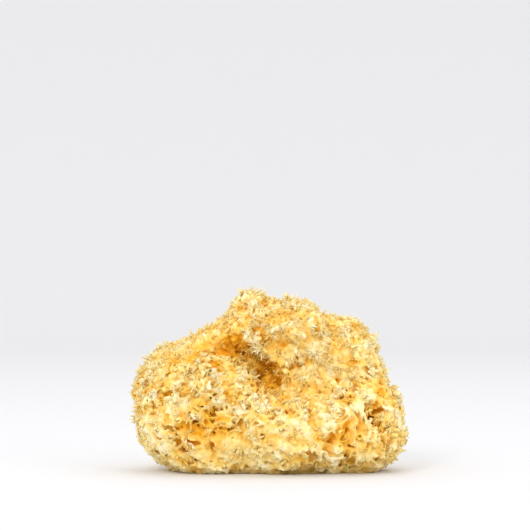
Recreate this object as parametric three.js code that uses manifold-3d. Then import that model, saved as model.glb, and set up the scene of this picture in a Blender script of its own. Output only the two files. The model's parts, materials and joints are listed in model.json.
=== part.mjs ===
// A dried natural sea sponge, in millimetres: +Z up, +X to the right of its front, which faces -Y.
// The origin is the middle of its underside, where it was cut flat off the rock and where it rests.
// It grew as one piece: rounded lobes that merge, a deep fold under its crown, and the mouths of water
// canals. The solid follows the tips of its tufts, so the fine pores and fibres lie inside it.

import * as THREE from "three";
import { ImprovedNoise } from "three/addons/math/ImprovedNoise.js";
import { mergeVertices } from "three/addons/utils/BufferGeometryUtils.js";
import Module from "manifold-3d";

// Driving dimensions.
const WIDTH = 152;
const DEPTH = 100;
const HEIGHT = 100;
const LOBE_BLEND = 12; // how softly the lobes merge
const LUMP_HEIGHT = 3;
const LUMP_SPACING = 18;
const SURFACE_DETAIL = 16; // subdivisions of the icosahedron that the surface is spread from
const HEART = new THREE.Vector3(2, 8, 42); // the surface is spread from here, before the fold is cut
const FARTHEST = 95; // no point of the surface is farther than this from the heart

// The lobes: middle, half sizes, and the lean about the front-to-back axis in degrees.
const LOBES = [
  { middle: [0, 8, 38], half: [62, 39, 40], lean: 0 }, // the heart of the sponge, and its back
  { middle: [-38, -3, 40], half: [34, 36, 34], lean: 10 }, // left shoulder
  { middle: [-1, 3, 72], half: [33, 33, 20], lean: -10 }, // crown
  { middle: [-9, 1, 87], half: [9, 13, 11], lean: 0 }, // knob on the crown
  { middle: [18, 3, 79], half: [15, 25, 12], lean: 10 }, // right end of the crown
  { middle: [45, 3, 60], half: [17, 29, 21], lean: 14 }, // right shoulder
  { middle: [47, -4, 24], half: [28, 34, 29], lean: -2 }, // right foot
  { middle: [8, -12, 24], half: [38, 31, 26], lean: 4 }, // middle foot
  { middle: [-36, -4, 20], half: [29, 32, 23], lean: 14 }, // left foot
];

// The trough under the crown, down across the front: the middle of a round hollow that rolls along it.
const TROUGH = [
  [-45, -32, 80],
  [-34, -37, 76],
  [-20, -39, 71],
  [-8, -40, 68],
  [3, -42, 60],
  [14, -45, 52],
  [28, -48, 46],
  [44, -47, 42],
];
const TROUGH_RADIUS = 13;
const TROUGH_STATIONS = 31;
const HOLLOW_SOFTNESS = 14;

// The fold that runs in behind the left shoulder from the bottom of that trough: its open edge on the
// surface, the bottom that it runs in to, and half its height.
const FOLD = [
  { edge: [-49, -14, 76], bottom: [-48, -11, 74], half: 1 },
  { edge: [-38, -23, 73], bottom: [-35, -12, 70], half: 3 },
  { edge: [-25, -25, 68], bottom: [-22, -11, 65], half: 4 },
  { edge: [-12, -27, 65], bottom: [-10, -10, 62], half: 4.5 },
  { edge: [-2, -29, 57], bottom: [-1, -13, 54], half: 6 },
  { edge: [6, -31, 50], bottom: [5, -18, 47], half: 5.5 },
  { edge: [14, -34, 44], bottom: [13, -24, 42], half: 4 },
  { edge: [26, -36, 40], bottom: [26, -27, 39], half: 3 },
  { edge: [41, -36, 38], bottom: [41, -31, 37.5], half: 2 },
  { edge: [56, -34, 39], bottom: [56, -33, 39], half: 0.8 },
];
const FOLD_OVERSHOOT = 9; // how far its cutter stands out of the surface
const FOLD_RINGS = 36;
const FOLD_SIDES = 10;
const FOLD_LUMPS = 0.25; // how much its height varies along it

// Small hollows under the front edge, between the feet, and one on the right shoulder.
const NOTCHES = [
  { place: new THREE.Vector3(-5, -43, -3), radius: 9 },
  { place: new THREE.Vector3(44, -36, -3), radius: 8 },
  { place: new THREE.Vector3(41, -33, 65), radius: 7 },
];

// Canal mouths on the front, as places that their canals run out through, and their diameters.
const FRONT_MOUTHS = [
  [-36, -40, 28, 5],
  [-45, -38, 25, 4],
  [-29, -40, 22, 5.5],
  [-28, -42, 35, 4],
  [-18, -42, 28, 4.5],
  [39, -42, 34, 4.5],
  [44, -40, 22, 5.5],
  [47, -38, 12, 5],
];
const MOUTH_DIRECTIONS = 42; // spread evenly all round; those that would meet the front ones are dropped
const MOUTH_GAP = 16; // smallest distance between the middles of a spread mouth and a front one
const MOUTH_DIAMETERS = [3.5, 5];
const MOUTH_DEPTH = 9;
const MOUTH_SIDES = 8;
const LOWEST_MOUTH = 10;

const SLOPE_STEP = 2; // how far to each side the surface's slope is measured

const noise = new ImprovedNoise();

const curve = (points) => new THREE.CatmullRomCurve3(points.map((point) => new THREE.Vector3(...point)));

const troughHollows = curve(TROUGH)
  .getPoints(TROUGH_STATIONS - 1)
  .map((place, i) => ({
    place,
    radius: TROUGH_RADIUS * Math.sqrt(Math.sin((Math.PI * (i + 0.5)) / TROUGH_STATIONS)),
  }));
const hollows = [...troughHollows, ...NOTCHES];

const wasm = await Module();
wasm.setup();

function solidOf(geometry) {
  const bare = new THREE.BufferGeometry().setAttribute("position", geometry.getAttribute("position"));
  if (geometry.index) bare.setIndex(geometry.index);
  const merged = mergeVertices(bare, 1e-4);
  return new wasm.Manifold(
    new wasm.Mesh({
      numProp: 3,
      vertProperties: merged.attributes.position.array,
      triVerts: new Uint32Array(merged.index.array),
    }),
  );
}

function geometryOf(solid) {
  const mesh = solid.getMesh();
  return new THREE.BufferGeometry()
    .setAttribute("position", new THREE.BufferAttribute(mesh.vertProperties, 3))
    .setIndex(new THREE.BufferAttribute(mesh.triVerts, 1));
}

// The smaller of two distances, rounded off over the given softness.
function softMin(a, b, softness) {
  const share = Math.max(softness - Math.abs(a - b), 0) / softness;
  return Math.min(a, b) - (share * share * softness) / 4;
}

// About how far a point lies outside a lobe.
function outsideLobe(point, { middle, half, lean }) {
  const local = new THREE.Vector3(...middle).multiplyScalar(-1).add(point);
  local.applyAxisAngle(THREE.Object3D.DEFAULT_UP, -THREE.MathUtils.degToRad(lean));
  return (local.divide(new THREE.Vector3(...half)).length() - 1) * Math.min(...half);
}

// How far the surface rolls out at a point: two sizes of lump.
function lump(point) {
  const at = (scale) => [point.x, point.y, point.z].map((x) => (x * scale) / LUMP_SPACING);
  return LUMP_HEIGHT * (noise.noise(...at(1)) + 0.5 * noise.noise(...at(2.3)));
}

// About how far a point lies outside the sponge.
function outside(point) {
  const lobes = LOBES.map((lobe) => outsideLobe(point, lobe)).reduce((a, b) => softMin(a, b, LOBE_BLEND));
  const inHollow = Math.min(...hollows.map(({ place, radius }) => place.distanceTo(point) - radius));
  return -softMin(-(lobes - lump(point)), inHollow, HOLLOW_SOFTNESS);
}

// The distance from the heart to the surface along a direction: halving between inside and outside.
function reach(direction) {
  const place = new THREE.Vector3();
  let outer = FARTHEST;
  while (outside(place.copy(HEART).addScaledVector(direction, outer)) > 0 && outer > 0) outer -= 1;
  let [low, high] = [outer, outer + 1];
  for (let i = 0; i < 12; i += 1) {
    const middle = (low + high) / 2;
    if (outside(place.copy(HEART).addScaledVector(direction, middle)) > 0) high = middle;
    else low = middle;
  }
  return low;
}

function surfacePoint(direction) {
  return direction.clone().multiplyScalar(reach(direction)).add(HEART);
}

// The direction that the surface faces at one of its points.
function facing(place) {
  const slope = (axis) => {
    const [ahead, behind] = [place.clone(), place.clone()];
    ahead[axis] += SLOPE_STEP;
    behind[axis] -= SLOPE_STEP;
    return outside(ahead) - outside(behind);
  };
  return new THREE.Vector3(slope("x"), slope("y"), slope("z")).normalize();
}

// A canal mouth, where the surface lies along a direction: a pit that narrows inwards from a flared rim.
function mouth(direction, diameter) {
  const radius = diameter / 2;
  const profile = [
    [0, -MOUTH_DEPTH],
    [0.5 * radius, 0.4 * radius - MOUTH_DEPTH],
    [0.8 * radius, -0.4 * MOUTH_DEPTH],
    [1.1 * radius, 0],
    [1.8 * radius, radius],
    [0, radius],
  ].map(([across, along]) => new THREE.Vector2(across, along));
  const pit = new THREE.LatheGeometry(profile, MOUTH_SIDES);
  const place = surfacePoint(direction);
  pit.applyQuaternion(new THREE.Quaternion().setFromUnitVectors(THREE.Object3D.DEFAULT_UP, facing(place)));
  pit.translate(place.x, place.y, place.z);
  pit.deleteAttribute("uv").deleteAttribute("normal");
  return solidOf(pit);
}

// The spread mouths' directions: a spiral of equal steps in height, each turned by the golden angle.
function spreadDirections() {
  const goldenAngle = Math.PI * (3 - Math.sqrt(5));
  return Array.from({ length: MOUTH_DIRECTIONS }, (_, i) => {
    const up = 1 - (2 * i + 1) / MOUTH_DIRECTIONS;
    const flat = Math.sqrt(1 - up * up);
    return new THREE.Vector3(flat * Math.cos(i * goldenAngle), flat * Math.sin(i * goldenAngle), up);
  });
}

function mouths() {
  const front = FRONT_MOUTHS.map(([x, y, z, diameter]) => ({
    direction: new THREE.Vector3(x, y, z).sub(HEART).normalize(),
    diameter,
  }));
  const frontPlaces = front.map(({ direction }) => surfacePoint(direction));
  const spread = spreadDirections()
    .filter((direction) => {
      const place = surfacePoint(direction);
      return place.z > LOWEST_MOUTH && frontPlaces.every((other) => other.distanceTo(place) > MOUTH_GAP);
    })
    .map((direction, i) => ({ direction, diameter: MOUTH_DIAMETERS[i % MOUTH_DIAMETERS.length] }));
  return [...front, ...spread].map(({ direction, diameter }) => mouth(direction, diameter));
}

// What is cut away for the fold: a tube with flat oval rings, from one end of the fold to the other.
function fold() {
  const edges = curve(FOLD.map(({ edge }) => edge));
  const bottoms = curve(FOLD.map(({ bottom }) => bottom));
  const halves = curve(FOLD.map(({ half }) => [half, 0, 0]));
  const tube = new THREE.CylinderGeometry(1, 1, 1, FOLD_SIDES, FOLD_RINGS);
  const places = tube.deleteAttribute("uv").deleteAttribute("normal").attributes.position;
  const [local, across, upwards] = [new THREE.Vector3(), new THREE.Vector3(), new THREE.Vector3()];
  for (let i = 0; i < places.count; i += 1) {
    local.fromBufferAttribute(places, i);
    const along = THREE.MathUtils.clamp(local.y + 0.5, 0, 1);
    const [edge, bottom] = [edges.getPoint(along), bottoms.getPoint(along)];
    across.subVectors(edge, bottom);
    const depth = across.length() + FOLD_OVERSHOOT;
    across.normalize();
    upwards.crossVectors(across, edges.getTangent(along)).normalize();
    const half = halves.getPoint(along).x * (1 + (FOLD_LUMPS * lump(edge)) / LUMP_HEIGHT);
    bottom.addScaledVector(across, (depth / 2) * (1 + local.x)).addScaledVector(upwards, half * local.z);
    places.setXYZ(i, ...bottom);
  }
  return solidOf(tube);
}

function body() {
  const ball = new THREE.IcosahedronGeometry(1, SURFACE_DETAIL);
  const geometry = mergeVertices(ball.deleteAttribute("uv").deleteAttribute("normal"), 1e-4);
  const places = geometry.attributes.position;
  const direction = new THREE.Vector3();
  for (let i = 0; i < places.count; i += 1) {
    direction.fromBufferAttribute(places, i).normalize();
    places.setXYZ(i, ...surfacePoint(direction));
  }
  const rock = solidOf(new THREE.BoxGeometry(400, 400, 100).translate(0, 0, -50));
  return [rock, fold(), ...mouths()].reduce((solid, cutter) => solid.subtract(cutter), solidOf(geometry));
}

// Stretches a geometry to the driving dimensions, with its base at z = 0 and centred on the origin.
function sized(geometry) {
  geometry.computeBoundingBox();
  const size = geometry.boundingBox.getSize(new THREE.Vector3());
  const middle = geometry.boundingBox.getCenter(new THREE.Vector3());
  geometry.translate(-middle.x, -middle.y, -geometry.boundingBox.min.z);
  return geometry.scale(WIDTH / size.x, DEPTH / size.y, HEIGHT / size.z);
}

const skeleton = new THREE.MeshStandardMaterial({ color: 0xe9bd6c, roughness: 0.95, metalness: 0 });
const sponge = new THREE.Mesh(sized(geometryOf(body())), skeleton);
sponge.name = "sponge";

const part = new THREE.Group();
part.add(sponge);

export default part;
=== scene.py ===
"""A dried natural sea sponge, resting on its flat cut on a plain pale floor."""

import json
import math
import random

import bmesh
import bpy
from mathutils import Matrix, Vector

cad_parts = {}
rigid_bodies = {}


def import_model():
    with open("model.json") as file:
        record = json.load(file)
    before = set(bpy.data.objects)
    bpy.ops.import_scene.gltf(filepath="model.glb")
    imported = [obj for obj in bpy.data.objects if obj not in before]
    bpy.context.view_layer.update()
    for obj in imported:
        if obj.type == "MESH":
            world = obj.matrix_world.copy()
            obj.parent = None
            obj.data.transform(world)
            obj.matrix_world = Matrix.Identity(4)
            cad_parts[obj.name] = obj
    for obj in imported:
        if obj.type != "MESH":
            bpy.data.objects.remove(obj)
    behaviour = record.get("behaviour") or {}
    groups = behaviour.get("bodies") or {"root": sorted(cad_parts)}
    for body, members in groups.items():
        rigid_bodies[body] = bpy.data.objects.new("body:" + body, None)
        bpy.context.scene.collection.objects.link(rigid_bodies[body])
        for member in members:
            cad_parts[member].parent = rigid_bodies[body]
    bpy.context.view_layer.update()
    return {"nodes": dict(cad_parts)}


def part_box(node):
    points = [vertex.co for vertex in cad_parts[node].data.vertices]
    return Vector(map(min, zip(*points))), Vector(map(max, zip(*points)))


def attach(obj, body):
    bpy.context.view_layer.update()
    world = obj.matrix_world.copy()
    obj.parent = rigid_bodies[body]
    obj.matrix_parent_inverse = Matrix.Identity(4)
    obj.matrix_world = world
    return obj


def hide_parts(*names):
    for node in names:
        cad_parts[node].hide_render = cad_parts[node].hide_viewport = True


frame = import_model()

MM = 0.001


# ---- Node trees, for shaders and for geometry alike ----


class Wire:
    """One output of a node, with maths written as Python expressions."""

    def __init__(self, graph, socket):
        self.graph = graph
        self.socket = socket

    def also(self, name):
        """Another output of the same node."""
        return Wire(self.graph, self.socket.node.outputs[name])

    def maths(self, operation, *others):
        """A Math node, on this value first and then on the others."""
        sockets = dict(enumerate((self, *others)))
        return self.graph.add("ShaderNodeMath", {"operation": operation}, sockets)

    def __add__(self, other):
        return self.maths("ADD", other)

    __radd__ = __add__

    def __mul__(self, other):
        return self.maths("MULTIPLY", other)

    __rmul__ = __mul__

    def __sub__(self, other):
        return self.maths("SUBTRACT", other)

    def __rsub__(self, other):
        return self.graph.add("ShaderNodeMath", {"operation": "SUBTRACT"}, {0: other, 1: self})

    def __abs__(self):
        return self.maths("ABSOLUTE")

    def __pow__(self, other):
        return self.maths("POWER", other)

    def at_least(self, other, softness=0):
        """The larger of the two, which run into each other over this softness."""
        return self.maths("SMOOTH_MAX", other, softness) if softness else self.maths("MAXIMUM", other)

    def at_most(self, other, softness=0):
        """The smaller of the two, which run into each other over this softness."""
        return self.maths("SMOOTH_MIN", other, softness) if softness else self.maths("MINIMUM", other)

    def ramp(self, low, high, start=0, end=1):
        """Turns the range from low to high into start to end, with soft ends, and holds it beyond."""
        sockets = {"Value": self, "From Min": low, "From Max": high, "To Min": start, "To Max": end}
        return self.graph.add("ShaderNodeMapRange", {"interpolation_type": "SMOOTHSTEP"}, sockets)


class Graph:
    """Adds nodes to one node tree."""

    def __init__(self, tree):
        self.tree = tree

    def add(self, kind, settings=None, sockets=None, output=0):
        """A node of any type: its settings first, then its sockets' values or links, by name or number."""
        node = self.tree.nodes.new(kind)
        for name, value in (settings or {}).items():
            setattr(node, name, value)
        for name, value in (sockets or {}).items():
            shown = [socket for socket in node.inputs if socket.enabled]
            socket = shown[name] if isinstance(name, int) else next(s for s in shown if s.name == name)
            if isinstance(value, Wire):
                self.tree.links.new(value.socket, socket)
            else:
                socket.default_value = value
        shown = [socket for socket in node.outputs if socket.enabled]
        found = shown[output] if isinstance(output, int) else next(s for s in shown if s.name == output)
        return Wire(self, found)

    def vector(self, operation, *values, output=0):
        """A Vector Math node on these values."""
        sockets = dict(enumerate(values))
        return self.add("ShaderNodeVectorMath", {"operation": operation}, sockets, output)

    def random(self, kind, low, high, seed):
        """A random value for each point."""
        sockets = {"Min": low, "Max": high, "Seed": seed}
        return self.add("FunctionNodeRandomValue", {"data_type": kind}, sockets)

    def attribute(self, name):
        """A named number that each point carries."""
        return self.add("GeometryNodeInputNamedAttribute", {"data_type": "FLOAT"}, {"Name": name})

    def store(self, shape, name, value, kind="FLOAT", domain="POINT"):
        """The shape, with this value kept on it under a name."""
        settings = {"data_type": kind, "domain": domain}
        sockets = {"Geometry": shape, "Name": name, "Value": value}
        return self.add("GeometryNodeStoreNamedAttribute", settings, sockets)


def shape_by_nodes(piece, name, build, **given):
    """Runs a Geometry Nodes tree, which the build function fills, on a piece and keeps its result."""
    tree = bpy.data.node_groups.new(name, "GeometryNodeTree")
    for way in ("INPUT", "OUTPUT"):
        tree.interface.new_socket("Geometry", in_out=way, socket_type="NodeSocketGeometry")
    graph = Graph(tree)
    result = build(graph, graph.add("NodeGroupInput"), **given)
    tree.links.new(result.socket, tree.nodes.new("NodeGroupOutput").inputs[0])
    piece.modifiers.new(name, "NODES").node_group = tree
    settle(piece)


def settle(piece):
    """Applies a piece's modifiers."""
    bpy.context.view_layer.update()
    shape = bpy.data.meshes.new_from_object(piece.evaluated_get(bpy.context.evaluated_depsgraph_get()))
    piece.modifiers.clear()
    old = piece.data
    piece.data = shape
    bpy.data.meshes.remove(old)


def piece_from(bm, name):
    """A new object from a bmesh, which is freed."""
    mesh = bpy.data.meshes.new(name)
    bm.to_mesh(mesh)
    bm.free()
    piece = bpy.data.objects.new(name, mesh)
    bpy.context.scene.collection.objects.link(piece)
    return piece


# ---- Fields: numbers that depend on the place, with lengths in mm ----

EVERY_WAY = Vector((1, 1, 1))
PATTERN_STEP = (1, 1.7, -2.3)  # where a noise's patterns lie from one another, for each unit of offset
MIDDLE_GREY = (0.5, 0.5, 0.5)  # the mean of a noise's colour
NOISE_ROUGHNESS = 0.5
BEYOND_THE_VOLUME = -10.0
FULL_WITHIN = 0.4  # of a spot's reach


def noise(graph, place, size, offset=0, detail=0.0, output="Fac"):
    """Smooth noise about 0, with features of about this size. Each offset gives another pattern."""
    moved = graph.vector("ADD", place, Vector([step * offset for step in PATTERN_STEP]) * MM)
    settings = {"noise_dimensions": "3D"}
    sockets = {
        "Vector": moved,
        "Scale": 1 / (size * MM),
        "Detail": detail,
        "Roughness": NOISE_ROUGHNESS,
    }
    found = graph.add("ShaderNodeTexNoise", settings, sockets, output)
    return found if output == "Color" else (found - 0.5) * 2


def push_of(graph, place, size, offset):
    """A smooth random direction, up to half a unit long along each axis."""
    colour = noise(graph, place, size, offset, output="Color")
    return graph.vector("SUBTRACT", colour, MIDDLE_GREY)


def shifted(graph, place, size, reach, offset):
    """The place, pushed about by up to half this reach, so that patterns on it run crooked."""
    push = push_of(graph, place, size, offset)
    return graph.vector("MULTIPLY_ADD", push, EVERY_WAY * reach * MM, place)


def from_tip(graph, place, spacing):
    """The distance from the nearest of many scattered points, about this far apart."""
    settings = {"voronoi_dimensions": "3D", "feature": "F1", "distance": "EUCLIDEAN"}
    sockets = {"Vector": place, "Scale": 1 / (spacing * MM)}
    return graph.add("ShaderNodeTexVoronoi", settings, sockets, "Distance") * spacing


def coordinate(graph, place, axis):
    """Where a place lies along one axis."""
    return graph.add("ShaderNodeSeparateXYZ", {}, {"Vector": place}, axis) * (1 / MM)


def around(graph, place, spots):
    """1 near any of these spots, 0 beyond their reach."""
    share = 0.0
    for centre, reach in spots:
        away = graph.vector("DISTANCE", place, Vector(centre) * MM, output="Value")
        share = away.ramp(reach * FULL_WITHIN * MM, reach * MM, 1, 0).at_least(share)
    return share


def mesh_of(graph, piece):
    """Another piece's mesh, as a node's output."""
    return graph.add("GeometryNodeObjectInfo", {}, {"Object": piece}, output="Geometry")


def outwards_of(graph, shell, place):
    """The direction that the shell faces, where it is nearest to a place."""
    sockets = {"Mesh": shell, "Value": graph.add("GeometryNodeInputNormal"), "Sample Position": place}
    return graph.add("GeometryNodeSampleNearestSurface", {"data_type": "FLOAT_VECTOR"}, sockets)


def depth_inside(graph, shell, place):
    """How far a place lies inside a closed shell, and below 0 outside it."""
    sockets = {"Geometry": shell, "Sample Position": place}
    near = graph.add("GeometryNodeProximity", {"target_element": "FACES"}, sockets)
    away = graph.vector("SUBTRACT", near, place)
    inside = graph.vector("DOT_PRODUCT", away, outwards_of(graph, shell, place), output="Value")
    return near.also("Distance") * inside.maths("SIGN") * (1 / MM)


def filled_volume(graph, inside, margin, voxel, nearest=-math.inf, farthest=math.inf):
    """A closed mesh round the places, within a margin of the solid, where inside is above 0."""
    low = CAD_LOW - EVERY_WAY * margin * MM
    high = CAD_HIGH + EVERY_WAY * margin * MM
    low.y = max(low.y, nearest * MM)
    high.y = min(high.y, farthest * MM)
    sockets = {"Density": inside, "Background": BEYOND_THE_VOLUME, "Min": low, "Max": high}
    for axis, extent in zip("XYZ", high - low):
        sockets[f"Resolution {axis}"] = round(extent / (voxel * MM))
    volume = graph.add("GeometryNodeVolumeCube", {}, sockets)
    return graph.add("GeometryNodeVolumeToMesh", {}, {"Volume": volume, "Threshold": 0.0})


# ---- The envelopes: the sponge's outer shape with its mouths, or its folds as well, closed over ----

CAD_LOW, CAD_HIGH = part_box("sponge")
PLINTH = 5 * MM  # the hull runs on below the cut, so that depth is measured from the sides alone
FLAT = 0.05 * MM  # a face whose corners are all this near the floor belongs to the cut
SAME_POINT = 0.001 * MM
# How far each envelope swells to close what is narrower than twice that, and its voxels.
CLOSE_MOUTHS = 3.0
MOUTHS_VOXEL = 1.6
CLOSE_FOLDS = 16.0
FOLDS_VOXEL = 4.0
ENVELOPE_MARGIN = 10
SMOOTHING = 0.5
SMOOTHING_STEPS = 4


def hull():
    """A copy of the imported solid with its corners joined, and its flat cut moved down."""
    bm = bmesh.new()
    bm.from_mesh(frame["nodes"]["sponge"].data)
    bmesh.ops.remove_doubles(bm, verts=bm.verts, dist=SAME_POINT)
    cut = [face for face in bm.faces if all(vert.co.z < FLAT for vert in face.verts)]
    grown = bmesh.ops.extrude_face_region(bm, geom=cut)["geom"]
    lowered = [part for part in grown if isinstance(part, bmesh.types.BMVert)]
    bmesh.ops.delete(bm, geom=cut, context="FACES_ONLY")
    bmesh.ops.translate(bm, verts=lowered, vec=(0, 0, -PLINTH))
    for face in bm.faces:
        face.smooth = True
    return piece_from(bm, "hull")


def swollen(graph, start, shell, by, voxel):
    """The shell, swollen so that whatever is narrower than twice that closes."""
    inside = depth_inside(graph, mesh_of(graph, shell), graph.add("GeometryNodeInputPosition")) + by
    return filled_volume(graph, inside, by + ENVELOPE_MARGIN, voxel)


def envelope(name, shell, by, voxel):
    """A smooth closed mesh that lies this far outside the shell."""
    piece = piece_from(bmesh.new(), name)
    shape_by_nodes(piece, name, swollen, shell=shell, by=by, voxel=voxel)
    smooth = piece.modifiers.new("smooth", "SMOOTH")
    smooth.factor = SMOOTHING
    smooth.iterations = SMOOTHING_STEPS
    settle(piece)
    for face in piece.data.polygons:
        face.use_smooth = True
    return piece


# ---- The skeleton: a mass of fine ragged walls, woolly above and lacy below ----

HALVES = [  # each half's name, where it starts and ends from front to back, and its voxels
    ("front", -60, 0.5, 0.58),
    ("back", -0.5, 60, 0.7),
]
SKELETON_MARGIN = 1.5
MOST_TRIANGLES = 192000
SMALLEST_ISLAND = 3000  # in points: whatever is smaller is loose crumbs
# Spots on the front: their middles, and how far they reach.
CROWDED = [  # where the openings crowd together
    ((-34, -38, 22), 28),
    ((50, -36, 22), 26),
]
AMBER = [  # sunken, and deeper in colour as painted shade
    ((-39, -20, 73), 13),
    ((-22, -25, 68), 14),
    ((0, -28, 54), 15),
    ((62, -22, 43), 14),
    ((38, -33, 66), 9),
]
WOOL_FROM = 24  # the skeleton turns from lace to wool between these heights
WOOL_TO = 58
WOOL_TILT = 0.08  # the turn lies this much higher for each unit to the right
WOOL_WANDER = 26
CLUMP_SIZE = 9
CLUMP_HEIGHT = 3.2
CLUMP_SINK = 0.4
# How far apart the sheets of each kind of skeleton run: two kinds cross in the lace, and two in the fluff.
LACE_SPACING = 7.8
CROSS_LACE_SPACING = 7.4
FLUFF_SPACING = 4.6
FLUFF_THICKNESS = 0.8
WALLS_BLEND = 0.3
LACE_THICKNESS = 0.75  # at the surface
FLARE = 0.28  # how much thicker the lace gets for each unit of depth
FLARE_DEPTH = 6.0
# Openness thins the lace: how much it wanders, and what the crowded spots add.
OPENNESS_SIZE = 16
OPENNESS = 1.8
CROWDED_OPENNESS = 1.2
OPENNESS_START = -0.3
KEPT_IN_CROWDS = 0.85  # the least thickness of the walls between crowded openings
KEPT_ELSEWHERE = -0.4
# How deep the pores end, and how much that changes.
PORE_DEPTH = 7.5
CROWDED_PORE_DEPTH = 3.0
WOOL_PORE_DEPTH = -4.0
PORE_END_SIZE = 6
PORE_END_WANDER = 1.5
PORE_END_BLEND = 0.5
# The tips: how far apart the coarse and the fine ones stand, and how sharply each falls away.
COARSE_TIPS = 3.6
COARSE_FALL = 0.6
WOOL_COARSE_FALL = 0.9
FINE_TIPS = 1.9
FINE_FALL = 0.9
TIP_HEIGHT = 1.2
TIP_BLEND = 0.2
# How far the skeleton stands past the solid, less in the sunken spots.
PAST_SOLID = 0.4
SUNKEN = 1.8
ABOVE_CUT = 0.02


def wool_share(graph, place):
    """1 on the woolly upper part, 0 on the lacy lower part."""
    edge = coordinate(graph, place, "Z") - coordinate(graph, place, "X") * WOOL_TILT
    return (edge + noise(graph, place, size=24, offset=40) * WOOL_WANDER).ramp(WOOL_FROM, WOOL_TO)


def clumps(graph, place):
    """How far the surface stands out in soft clumps, or lies back between them."""
    return noise(graph, place, CLUMP_SIZE, offset=52, detail=1.0) * CLUMP_HEIGHT - CLUMP_SINK


def wall(graph, place, size, offset, thickness):
    """Above 0 inside crooked sheets, about as far apart as this size and twice this thick."""
    return thickness - abs(noise(graph, place, size, offset)) * size


def lace(graph, place, bent, depth, crowd):
    """Above 0 inside the coarse walls of the lower part, whose openings gape where they crowd together."""
    wander = noise(graph, place, OPENNESS_SIZE, offset=90) * OPENNESS
    openness = wander + crowd * CROWDED_OPENNESS + OPENNESS_START
    flared = depth.at_least(0.0).at_most(FLARE_DEPTH) * FLARE + LACE_THICKNESS
    thickness = flared - openness
    least = crowd * KEPT_IN_CROWDS + KEPT_ELSEWHERE
    kept_walls = wall(graph, bent, LACE_SPACING, 3, thickness.at_least(least))
    return kept_walls.at_least(wall(graph, bent, CROSS_LACE_SPACING, 61, thickness), WALLS_BLEND)


def fluff(graph, bent):
    """Above 0 inside the fine walls of the upper part."""
    one_way = wall(graph, bent, FLUFF_SPACING, 17, FLUFF_THICKNESS)
    other_way = wall(graph, bent, FLUFF_SPACING, 83, FLUFF_THICKNESS)
    return one_way.at_least(other_way, WALLS_BLEND)


def ragged_tips(graph, place, depth, wool):
    """Above 0 below a surface of ragged tips, coarse and fine."""
    crooked = shifted(graph, place, size=3, reach=1.8, offset=47)
    coarse = from_tip(graph, crooked, COARSE_TIPS) * (COARSE_FALL + WOOL_COARSE_FALL * wool)
    tips = coarse + from_tip(graph, crooked, FINE_TIPS) * FINE_FALL
    return depth - tips + TIP_HEIGHT


def relief(graph, start, near, solid, nearest, farthest, voxel):
    """The skeleton's surface: walls between pores, with ragged tips that reach the solid's surface."""
    place = graph.add("GeometryNodeInputPosition")
    depth = depth_inside(graph, mesh_of(graph, near), place) - CLOSE_MOUTHS + clumps(graph, place)
    wool = wool_share(graph, place)
    bent = shifted(graph, place, size=7, reach=5, offset=11)
    crowd = around(graph, place, CROWDED)
    walls = lace(graph, place, bent, depth, crowd) * (1 - wool) + fluff(graph, bent) * wool
    pore_depth = PORE_DEPTH + CROWDED_PORE_DEPTH * crowd + WOOL_PORE_DEPTH * wool
    below_pores = depth - pore_depth + noise(graph, place, PORE_END_SIZE, offset=33) * PORE_END_WANDER
    ragged = ragged_tips(graph, place, depth, wool)
    inside = ragged.at_most(walls.at_least(below_pores, PORE_END_BLEND), TIP_BLEND)
    near_mouth = shifted(graph, place, size=4, reach=5, offset=23)
    sunken = around(graph, place, AMBER)
    mouths = depth_inside(graph, mesh_of(graph, solid), near_mouth) + PAST_SOLID - SUNKEN * sunken
    above_cut = coordinate(graph, place, "Z") - ABOVE_CUT
    kept = inside.at_most(mouths).at_most(above_cut)
    shape = filled_volume(graph, kept, SKELETON_MARGIN, voxel, nearest, farthest)
    return graph.add("GeometryNodeSetShadeSmooth", {}, {"Geometry": without_crumbs(graph, shape)})


def without_crumbs(graph, shape):
    """The shape without its small loose islands."""
    sockets = {"Value": 1, "Group ID": graph.add("GeometryNodeInputMeshIsland")}
    count = graph.add("GeometryNodeAccumulateField", {"data_type": "INT"}, sockets, "Total")
    settings = {"data_type": "INT", "operation": "LESS_THAN"}
    small = graph.add("FunctionNodeCompare", settings, {"A": count, "B": SMALLEST_ISLAND})
    sockets = {"Geometry": shape, "Selection": small}
    return graph.add("GeometryNodeDeleteGeometry", {"domain": "POINT"}, sockets)


def skeleton(name, **given):
    """One half of the skeleton, thinned to the most triangles that a piece may have."""
    piece = piece_from(bmesh.new(), f"skeleton_{name}")
    shape_by_nodes(piece, "relief", relief, **given)
    bm = bmesh.new()
    bm.from_mesh(piece.data)
    bmesh.ops.triangulate(bm, faces=bm.faces)
    bm.to_mesh(piece.data)
    bm.free()
    thin = piece.modifiers.new("thin", "DECIMATE")
    thin.ratio = min(1, MOST_TRIANGLES / len(piece.data.polygons))
    settle(piece)
    return piece


# ---- Paint: where each point's colour lies between pale and deep, with painted shade in pores, folds and hollows ----

MAP = "OFBake"  # each piece's own map: its tone across, its patch up
MAP_EDGE = 0.02  # kept clear, so that nothing falls off the map
MAP_SPREAD = 0.01  # keeps every face from being a single point on the map
# What each thing adds to the tone, which is 0 at its palest and 1 at its deepest.
PORE_SHADE_TONE = 0.075  # painted shade in the pores, for each unit of depth; the next line adds more in the wool
WOOL_PORE_SHADE_TONE = 0.03
MOTTLE_SIZE = 6
MOTTLE_TONE = 0.2
FINE_MOTTLE_SIZE = 2.2
FINE_MOTTLE_TONE = 0.14
CLUMP_SHADE_TONE = -0.08  # painted light on the clumps and painted shade between them, for each unit that a clump stands out
FOLD_FROM = 2  # painted shade deepens the colour in the fold between these depths
FOLD_TO = 13
FOLD_SHADE_TONE = 0.4
# painted shade in the sunken spots
SUNKEN_SHADE_TONE = 0.16
# the lacy lower part is deeper: partly its own colour, partly painted shade where less light falls from
# above
LACE_AND_LOW_SHADE_TONE = 0.14
PALE_TONE = 0.06
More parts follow.
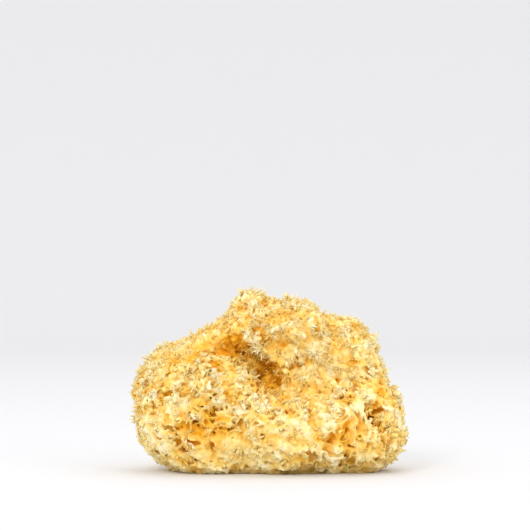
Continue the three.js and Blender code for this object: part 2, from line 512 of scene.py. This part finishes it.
# The rim of the cut: how high the patch there reaches, and how much that changes.
RIM_HEIGHT = 5
RIM_WANDER = 6
RIM_FADE = 3
RIM_PATCH = 0.5
PATCH_SIZE = 16
PATCH_WANDER = 0.3
PATCH_START = 0.3


def paint(graph, start, near, far):
    """Gives each point its tone, from pale tips to deep pores with painted shade in pores, folds, sunken
    spots and between clumps, and its patch, for the olive darkening along its bottom rim.
    """
    place = graph.add("GeometryNodeInputPosition")
    depth = depth_inside(graph, mesh_of(graph, near), place) - CLOSE_MOUTHS
    fold = depth_inside(graph, mesh_of(graph, far), place) - CLOSE_FOLDS - depth
    wool = wool_share(graph, place)
    # painted shade: the colour deepens with depth in the pores
    pores = depth.at_least(0.0) * (PORE_SHADE_TONE + WOOL_PORE_SHADE_TONE * wool)
    mottle = noise(graph, place, MOTTLE_SIZE, offset=5, detail=2.0) * MOTTLE_TONE
    mottle = mottle + noise(graph, place, FINE_MOTTLE_SIZE, offset=61) * FINE_MOTTLE_TONE
    # painted shade between the clumps, and paler painted light on their tops
    between = clumps(graph, place) * CLUMP_SHADE_TONE
    # painted shade in the fold and in the sunken spots
    amber = fold.ramp(FOLD_FROM, FOLD_TO) * FOLD_SHADE_TONE + around(graph, place, AMBER) * SUNKEN_SHADE_TONE
    # the lower, lacy part is deeper, partly its own colour and partly painted shade
    tone = pores + amber + mottle + between + (1 - wool) * LACE_AND_LOW_SHADE_TONE - PALE_TONE
    height = coordinate(graph, place, "Z")
    rim_height = noise(graph, place, size=9, offset=71, detail=1.0) * RIM_WANDER + RIM_HEIGHT
    rim = (rim_height - height).ramp(0, RIM_FADE)
    wander = noise(graph, place, PATCH_SIZE, offset=29, detail=2.0) * PATCH_WANDER
    patch = wander + PATCH_START + rim * RIM_PATCH
    return marked(graph, start, tone, patch)


def marked(graph, shape, tone, patch):
    """Gives each corner its tone and patch, as the place on the map that its colour is read from."""
    for seed, (name, part) in enumerate((("tone", tone), ("patch", patch))):
        kept = part.at_least(MAP_EDGE).at_most(1 - MAP_EDGE)
        shape = graph.store(shape, name, kept + graph.random("FLOAT", -MAP_SPREAD, MAP_SPREAD, seed))
    sockets = {"X": graph.attribute("tone"), "Y": graph.attribute("patch")}
    both = graph.add("ShaderNodeCombineXYZ", {}, sockets)
    return graph.store(shape, MAP, both, "FLOAT2", "CORNER")


# ---- Tufts ----

KINDS = 8  # of each sort of tuft
LOCK_STEPS = 3
CURL = 0.8
HAIRS = 1  # kinds of the first sort whose locks are long and thin
HAIR_LENGTH = 1.5
HAIR_THICKNESS = 0.4
# Each sort of tuft: its locks, their sides, lengths and radii in mm, how many times wider than thick
# they are, how much of their size their tips keep, and how far they fan out.
TUFTS = [
    {
        "locks": 3,
        "sides": 3,
        "length": (1.1, 2.1),
        "radius": (0.28, 0.46),
        "wide": 2.0,
        "tip": 0.45,
        "fan": 0.5,
    },
    {
        "locks": 2,
        "sides": 4,
        "length": (1.4, 2.8),
        "radius": (0.36, 0.5),
        "wide": 3.6,
        "tip": 0.7,
        "fan": 0.6,
    },
]
TUFT_DENSITY = 3.4e5  # in the wool, for each square metre
LACE_DENSITY = 0.35  # of that
WOOL_EDGES = [-100, 0, 100]  # each piece of tufts lies between two of these places across
TUFT_SHALLOWEST = 1.5  # tufts thin out between these depths
TUFT_DEEPEST = 5.0
DEEP_DENSITY = 0.1
NEAR_FLOOR = 2  # tufts come in between these heights, and are smaller below the second
CLEAR_OF_FLOOR = 9
FLOOR_TUFT_SIZE = 0.4
SUNKEN_BARENESS = 0.6
# How far tufts lean together, and how far each one strays.
COMBED_LEAN = (8.5, 8.5, 6.0)
STRAY_LOW = (-0.4, -0.4, -0.2)
STRAY_HIGH = (0.4, 0.4, 0.6)
# The smallest tuft, how much larger the largest is, and how much of its size it has in the lace.
TUFT_SIZE = 0.5
TUFT_SIZE_RANGE = 0.9
LACE_TUFT_SIZE = 0.75
# A tuft's tone: how far each one strays, how much paler its tips are as a painted highlight, and how much
# deeper its root is as painted shade.
TUFT_HUE = 0.06
TIP_HIGHLIGHT_TONE = 0.22
ROOT_SHADE_TONE = 0.12


def add_lock(bm, rng, sort, longer, thinner):
    """One curled lock from the origin, closed at both ends."""
    length = longer * rng.uniform(*sort["length"]) * MM
    radius = thinner * rng.uniform(*sort["radius"]) * MM
    tip = radius * sort["tip"]
    raised = Matrix.Translation((0, 0, length / 2))
    before = len(bm.verts)
    bmesh.ops.create_cone(
        bm, cap_ends=True, segments=sort["sides"], radius1=radius, radius2=tip, depth=length, matrix=raised
    )
    bm.verts.ensure_lookup_table()
    low = [vert for vert in bm.verts[before:] if vert.co.z < length / 2]
    rising = {edge for vert in low for edge in vert.link_edges if edge.other_vert(vert) not in low}
    bmesh.ops.subdivide_edges(bm, edges=list(rising), cuts=LOCK_STEPS - 1)
    bm.verts.ensure_lookup_table()
    along = Vector((rng.gauss(0, sort["fan"]), rng.gauss(0, sort["fan"]), 1))
    turn = along.to_track_quat("Z", "Y").to_matrix() @ Matrix.Rotation(rng.uniform(0, math.pi), 3, "Z")
    curl = Vector([rng.uniform(-CURL, CURL) for _ in range(3)])
    for vert in bm.verts[before:]:
        share = vert.co.z / length
        wide = Vector((vert.co.x * sort["wide"], vert.co.y, vert.co.z))
        vert.co = turn @ wide + curl * length * share ** 2


def tuft(kind):
    """A few locks that fan out from one root, with how far along it each point lies."""
    rng = random.Random(kind)
    bm = bmesh.new()
    sort = TUFTS[kind // KINDS]
    longer, thinner = (HAIR_LENGTH, HAIR_THICKNESS) if kind < HAIRS else (1, 1)
    for _ in range(sort["locks"]):
        add_lock(bm, rng, sort, longer, thinner)
    layer = bm.verts.layers.float.new("along")
    longest = max(vert.co.length for vert in bm.verts)
    for vert in bm.verts:
        vert[layer] = vert.co.length / longest
    for face in bm.faces:
        face.smooth = True
    return piece_from(bm, f"tuft_{kind:02}")


def tuft_kinds():
    """A collection, outside the scene, with one tuft of each kind."""
    kinds = bpy.data.collections.new("tuft_kinds")
    for kind in range(len(TUFTS) * KINDS):
        one = tuft(kind)
        bpy.context.scene.collection.objects.unlink(one)
        kinds.objects.link(one)
    return kinds


def tuft_roots(graph, start, place, shell, wool, low, high, seed):
    """Points on the skeleton between two places across: many in the wool, few in pores and at the floor."""
    across = coordinate(graph, place, "X")
    here = across.maths("GREATER_THAN", low) * across.maths("LESS_THAN", high)
    depth = depth_inside(graph, shell, place) - CLOSE_MOUTHS
    shallow = depth.ramp(TUFT_SHALLOWEST, TUFT_DEEPEST, 1, DEEP_DENSITY)
    clear_of_floor = coordinate(graph, place, "Z").ramp(NEAR_FLOOR, CLEAR_OF_FLOOR)
    full = 1 - around(graph, place, AMBER) * SUNKEN_BARENESS
    density = here * shallow * (wool * (1 - LACE_DENSITY) + LACE_DENSITY) * clear_of_floor * full
    points = graph.add(
        "GeometryNodeDistributePointsOnFaces",
        {"distribute_method": "RANDOM"},
        {"Mesh": start, "Density": density * TUFT_DENSITY, "Seed": seed},
        "Points",
    )
    return graph.store(points, "hue", graph.random("FLOAT", -TUFT_HUE, TUFT_HUE, seed + 4))


def tuft_turn(graph, place, shell, seed):
    """Each tuft's rotation: outwards, but combed to one side in places, and spun about itself."""
    combed = push_of(graph, place, size=8, offset=77)
    lean = graph.vector("MULTIPLY_ADD", combed, COMBED_LEAN, outwards_of(graph, shell, place))
    lean = graph.vector("ADD", lean, graph.random("FLOAT_VECTOR", STRAY_LOW, STRAY_HIGH, seed))
    turned = graph.add("FunctionNodeAlignRotationToVector", {"axis": "Z"}, {"Vector": lean})
    sockets = {"Axis": (0, 0, 1), "Angle": graph.random("FLOAT", 0.0, 2 * math.pi, seed + 1)}
    spin = graph.add("FunctionNodeAxisAngleToRotation", {}, sockets)
    sockets = {"Rotation": turned, "Rotate By": spin}
    return graph.add("FunctionNodeRotateRotation", {"rotation_space": "LOCAL"}, sockets)


def scatter(graph, start, kinds, near, low, high, seed):
    """Tufts over the part of the skeleton between two places across, as one mesh."""
    place = graph.add("GeometryNodeInputPosition")
    wool = wool_share(graph, place)
    shell = mesh_of(graph, near)
    points = tuft_roots(graph, start, place, shell, wool, low, high, seed)
    clear_of_floor = coordinate(graph, place, "Z").ramp(NEAR_FLOOR, CLEAR_OF_FLOOR)
    size = graph.random("FLOAT", 0.0, 1.0, seed + 2) ** 2 * TUFT_SIZE_RANGE + TUFT_SIZE
    size = size * (wool * (1 - LACE_TUFT_SIZE) + LACE_TUFT_SIZE)
    size = size * (clear_of_floor * (1 - FLOOR_TUFT_SIZE) + FLOOR_TUFT_SIZE)
    flaky = graph.random("FLOAT", 0.0, 1.0, seed + 5).maths("GREATER_THAN", wool)
    kind = graph.random("FLOAT", 0.0, KINDS - 0.01, seed + 3) + flaky * KINDS
    sockets = {"Collection": kinds, "Separate Children": True, "Reset Children": True}
    choice = graph.add("GeometryNodeCollectionInfo", {}, sockets)
    sockets = {
        "Points": points,
        "Instance": choice,
        "Pick Instance": True,
        "Instance Index": kind,
        "Rotation": tuft_turn(graph, place, shell, seed),
        "Scale": size,
    }
    tufts = graph.add("GeometryNodeInstanceOnPoints", {}, sockets)
    shape = graph.add("GeometryNodeRealizeInstances", {}, {"Geometry": tufts})
    # each tuft carries the skeleton's tone at its root, painted shade included, with a painted highlight
    # toward the tips and painted shade at the root
    tone = graph.attribute("tone") - graph.attribute("along") * TIP_HIGHLIGHT_TONE + graph.attribute("hue") + ROOT_SHADE_TONE
    return marked(graph, shape, tone, graph.attribute("patch"))


def wool_pieces(body, near, kinds):
    """The tufts of one half of the skeleton, in one piece for each stretch across it."""
    name = body.name.replace("skeleton", "wool")
    pieces = []
    for i, (low, high) in enumerate(zip(WOOL_EDGES, WOOL_EDGES[1:])):
        piece = bpy.data.objects.new(f"{name}_{i + 1}", body.data.copy())
        bpy.context.scene.collection.objects.link(piece)
        shape_by_nodes(piece, "scatter", scatter, kinds=kinds, near=near, low=low, high=high, seed=10 * i)
        pieces.append(piece)
    return pieces


# ---- Materials ----

# Colours along the tone, from pale tips to deep pores, in the numbers from 0 to 255; the deeper colours
# mostly stand for painted shade in pores, folds and hollows.
TONES = [
    (0.00, (255, 240, 198)),
    (0.15, (254, 229, 160)),
    (0.35, (252, 212, 116)),
    (0.60, (244, 182, 46)),
    (0.80, (224, 147, 22)),
    (1.00, (178, 106, 14)),
]
# An olive darkening, mostly along the bottom rim by the cut.
RIM_OLIVE = (150, 122, 44)
OLIVE_FROM = 0.62  # the olive darkening comes in between these patches, which the bottom rim reaches
OLIVE_TO = 0.95
OLIVE_SHARE = 0.75
ROUGHNESS = 0.78
DEEP_ROUGHNESS = 0.15  # what the deepest tone adds
SPECULAR = 0.1
# Light goes a little way into the fibre, and red goes farthest.
SUBSURFACE = 0.22
SUBSURFACE_RADIUS = (1.0, 0.6, 0.25)
SUBSURFACE_SCALE = 1.5 * MM


def linear(red, green, blue):
    """A colour from its 0 to 255 values, as the shader takes it."""
    def one(value):
        value /= 255
        return value / 12.92 if value <= 0.04045 else ((value + 0.055) / 1.055) ** 2.4
    return (one(red), one(green), one(blue), 1.0)


def fill_ramp(wire, stops):
    """Replaces a colour ramp's stops."""
    ramp = wire.socket.node.color_ramp
    while len(ramp.elements) > 1:
        ramp.elements.remove(ramp.elements[-1])
    first_position, first_colour = stops[0]
    ramp.elements[0].position = first_position
    ramp.elements[0].color = linear(*first_colour)
    for position, colour in stops[1:]:
        ramp.elements.new(position).color = linear(*colour)


def spongin():
    """Dry sponge fibre: pale at its tips, and amber and brown in its pores, where that deep colour is
    painted shade.
    """
    material = bpy.data.materials.new("spongin")
    material.use_nodes = True
    graph = Graph(material.node_tree)
    shader = material.node_tree.nodes["Principled BSDF"]
    place_on_map = graph.add("ShaderNodeUVMap", {"uv_map": MAP})
    tone = graph.add("ShaderNodeSeparateXYZ", {}, {"Vector": place_on_map})
    patch = tone.also("Y")
    colour = graph.add("ShaderNodeValToRGB", {}, {"Fac": tone})
    fill_ramp(colour, TONES)
    settings = {"data_type": "RGBA", "blend_type": "MULTIPLY"}
    darkened = patch.ramp(OLIVE_FROM, OLIVE_TO) * OLIVE_SHARE
    sockets = {"Factor": darkened, "A": colour, "B": linear(*RIM_OLIVE)}
    colour = graph.add("ShaderNodeMix", settings, sockets, "Result")
    material.node_tree.links.new(colour.socket, shader.inputs["Base Color"])
    roughness = tone * DEEP_ROUGHNESS + ROUGHNESS
    material.node_tree.links.new(roughness.socket, shader.inputs["Roughness"])
    shader.inputs["Specular IOR Level"].default_value = SPECULAR
    shader.inputs["Subsurface Weight"].default_value = SUBSURFACE
    shader.inputs["Subsurface Radius"].default_value = SUBSURFACE_RADIUS
    shader.inputs["Subsurface Scale"].default_value = SUBSURFACE_SCALE
    shown_colour = TONES[1][1]
    material.diffuse_color = linear(*shown_colour)
    return material


# ---- Stage ----

FRAME_WIDTH = 290 * MM
CAMERA_DISTANCE = 1.3
CAMERA_HEIGHT = 112 * MM
CAMERA_ACROSS = -1.6 * MM
SENSOR = 36
NEAREST_SEEN = 0.01
FARTHEST_SEEN = 20
FLOOR_RADIUS = 2.6
FLOOR_CURVE = 0.8
FLOOR_CURVE_STEPS = 12
FLOOR_TOP = 0.95
FLOOR_SIDES = 96
FLOOR_COLOUR = (226, 226, 228)
FLOOR_ROUGHNESS = 0.9
SAME_FLOOR_POINT = 0.01 * MM
SKY_STRENGTH = 1.12
LIT_POINT = (0, 0, 50 * MM)
LAMPS = [  # each lamp's name, place, size and power
    ("key", (-0.6, -1.5, 1.0), 0.6, 9.5),
    ("fill", (1.3, -1.3, 0.6), 0.8, 4),
    ("top", (0.1, 0.3, 1.6), 0.8, 2),
]


def add_camera():
    """A level camera straight in front of the sponge."""
    data = bpy.data.cameras.new("camera")
    data.sensor_width = SENSOR
    data.lens = SENSOR * CAMERA_DISTANCE / FRAME_WIDTH
    data.clip_start = NEAREST_SEEN
    data.clip_end = FARTHEST_SEEN
    camera = bpy.data.objects.new("camera", data)
    camera.location = (CAMERA_ACROSS, -CAMERA_DISTANCE, CAMERA_HEIGHT)
    camera.rotation_euler = (math.radians(90), 0, 0)
    bpy.context.scene.collection.objects.link(camera)
    bpy.context.scene.camera = camera


def add_floor():
    """A round floor whose rim curves up into a wall."""
    bm = bmesh.new()
    flat_radius = FLOOR_RADIUS - FLOOR_CURVE
    profile = [Vector((0, 0, 0)), Vector((flat_radius, 0, 0))]
    for i in range(1, FLOOR_CURVE_STEPS + 1):
        turn = math.radians(90 / FLOOR_CURVE_STEPS * i)
        out = flat_radius + FLOOR_CURVE * math.sin(turn)
        up = FLOOR_CURVE - FLOOR_CURVE * math.cos(turn)
        profile.append(Vector((out, 0, up)))
    profile.append(Vector((FLOOR_RADIUS, 0, FLOOR_TOP)))
    verts = [bm.verts.new(point) for point in profile]
    edges = [bm.edges.new(pair) for pair in zip(verts, verts[1:])]
    bmesh.ops.spin(
        bm,
        geom=verts + edges,
        axis=(0, 0, 1),
        cent=(0, 0, 0),
        angle=2 * math.pi,
        steps=FLOOR_SIDES,
        use_merge=True,
    )
    bmesh.ops.remove_doubles(bm, verts=bm.verts, dist=SAME_FLOOR_POINT)
    bmesh.ops.recalc_face_normals(bm, faces=bm.faces)
    for face in bm.faces:
        face.smooth = True
    floor = piece_from(bm, "floor")
    material = bpy.data.materials.new("pale_floor")
    material.use_nodes = True
    shader = material.node_tree.nodes["Principled BSDF"]
    shader.inputs["Base Color"].default_value = linear(*FLOOR_COLOUR)
    shader.inputs["Roughness"].default_value = FLOOR_ROUGHNESS
    floor.data.materials.append(material)


def add_lamp(name, place, size, power):
    """A round lamp that faces the sponge's middle."""
    data = bpy.data.lights.new(name, "AREA")
    data.shape = "DISK"
    data.size = size
    data.energy = power
    lamp = bpy.data.objects.new(name, data)
    lamp.location = place
    lamp.rotation_euler = (Vector(LIT_POINT) - Vector(place)).to_track_quat("-Z", "Y").to_euler()
    bpy.context.scene.collection.objects.link(lamp)


def add_sky():
    """Even white light from all round."""
    world = bpy.data.worlds.new("world")
    bpy.context.scene.world = world
    world.use_nodes = True
    background = world.node_tree.nodes["Background"]
    background.inputs["Color"].default_value = (1, 1, 1, 1)
    background.inputs["Strength"].default_value = SKY_STRENGTH


def sponge():
    """All pieces of the skeleton and its tufts."""
    solid = hull()
    near = envelope("near", solid, CLOSE_MOUTHS, MOUTHS_VOXEL)
    far = envelope("far", solid, CLOSE_FOLDS, FOLDS_VOXEL)
    kinds = tuft_kinds()
    pieces = []
    for name, nearest, farthest, voxel in HALVES:
        body = skeleton(name, near=near, solid=solid, nearest=nearest, farthest=farthest, voxel=voxel)
        shape_by_nodes(body, "paint", paint, near=near, far=far)
        pieces += [body, *wool_pieces(body, near, kinds)]
    for helper in (solid, near, far, *kinds.objects):
        bpy.data.objects.remove(helper)
    return pieces


add_camera()
add_floor()
add_sky()
for lamp in LAMPS:
    add_lamp(*lamp)
bpy.context.scene.view_settings.view_transform = "Standard"

pieces = sponge()
fibre = spongin()
for piece in pieces:
    piece.data.materials.clear()
    piece.data.materials.append(fibre)
    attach(piece, "root")
    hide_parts("sponge")
